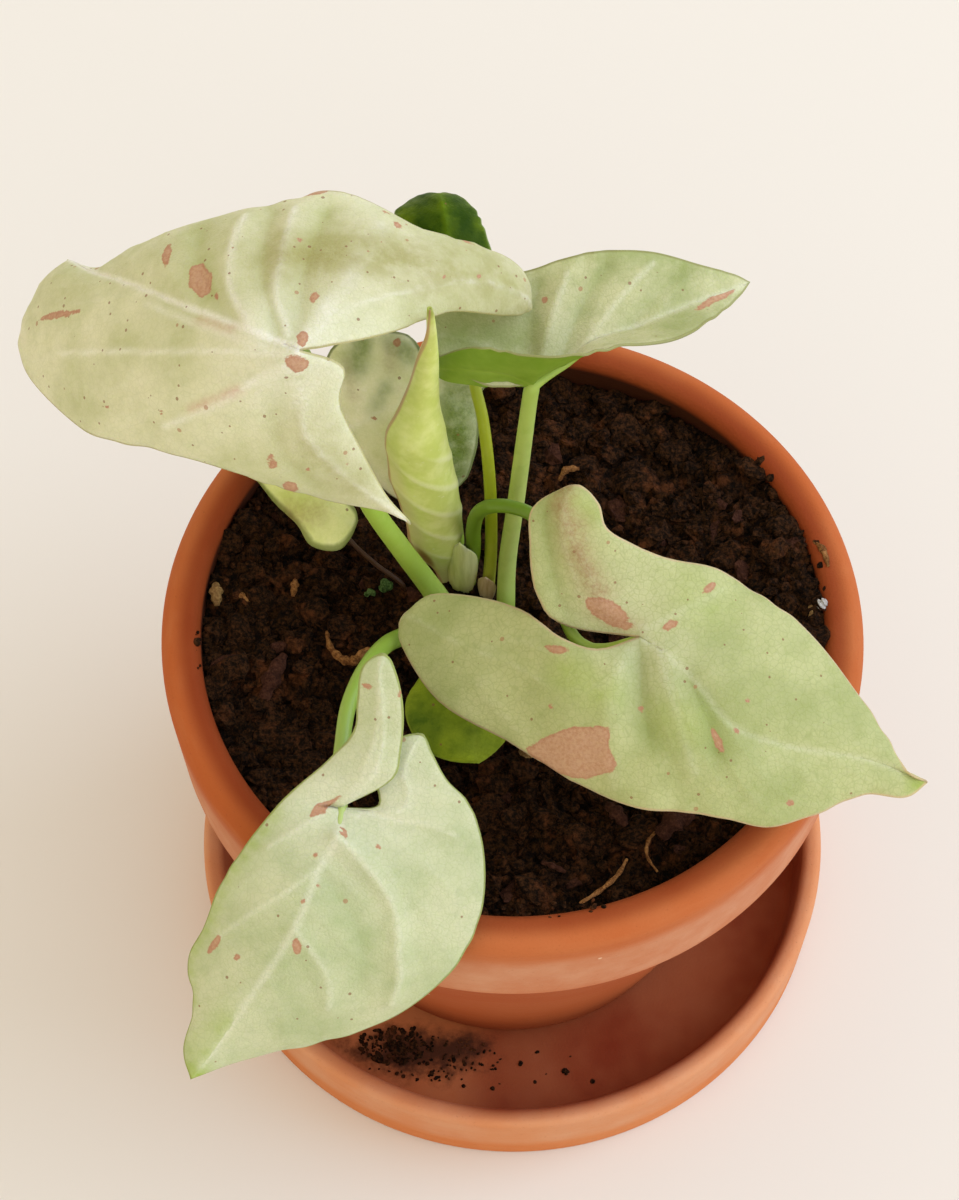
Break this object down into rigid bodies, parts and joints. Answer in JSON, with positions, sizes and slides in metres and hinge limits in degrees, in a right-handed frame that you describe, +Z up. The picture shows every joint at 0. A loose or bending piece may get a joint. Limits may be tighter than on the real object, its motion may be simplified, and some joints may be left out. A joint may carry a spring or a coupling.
{
  "type": "potted syngonium",
  "caption": "Young arrowhead plant with pale, pink-splashed leaves, in a round terracotta pot of soil that stands in its saucer.",
  "frame": {"origin": "on the pot's axis, on the flat underside of the saucer, which rests on the surface", "axes": "+Z up, +X to the right and +Y to the back seen from the front"},
  "size_m": [0.1608, 0.1479, 0.1956],
  "materials": {
    "saucer": "matte",
    "pot": "matte",
    "potting_soil": "matte",
    "leaf_top_left": "satin",
    "leaf_right": "satin",
    "leaf_front": "satin",
    "leaf_back_right": "satin",
    "leaf_back": "satin",
    "leaf_middle": "satin",
    "leaf_low_left": "satin",
    "leaf_low_front": "satin",
    "leaf_unfurling": "satin",
    "stalk_top_left": "satin",
    "stalk_right": "satin",
    "stalk_front": "satin",
    "stalk_back_right": "satin",
    "stalk_back": "satin",
    "stalk_middle": "satin",
    "stalk_low_left": "satin",
    "stalk_low_front": "satin",
    "sheath_right": "matte",
    "sheath_back": "matte"
  },
  "bodies": {
    "root": {"saucer": "saucer", "pot": "pot", "potting_soil": "potting_soil", "leaf_top_left": "leaf_top_left", "leaf_right": "leaf_right", "leaf_front": "leaf_front", "leaf_back_right": "leaf_back_right", "leaf_back": "leaf_back", "leaf_middle": "leaf_middle", "leaf_low_left": "leaf_low_left", "leaf_low_front": "leaf_low_front", "leaf_unfurling": "leaf_unfurling", "stalk_top_left": "stalk_top_left", "stalk_right": "stalk_right", "stalk_front": "stalk_front", "stalk_back_right": "stalk_back_right", "stalk_back": "stalk_back", "stalk_middle": "stalk_middle", "stalk_low_left": "stalk_low_left", "stalk_low_front": "stalk_low_front", "sheath_right": "sheath_right", "sheath_back": "sheath_back"}
  },
  "joints": []
}
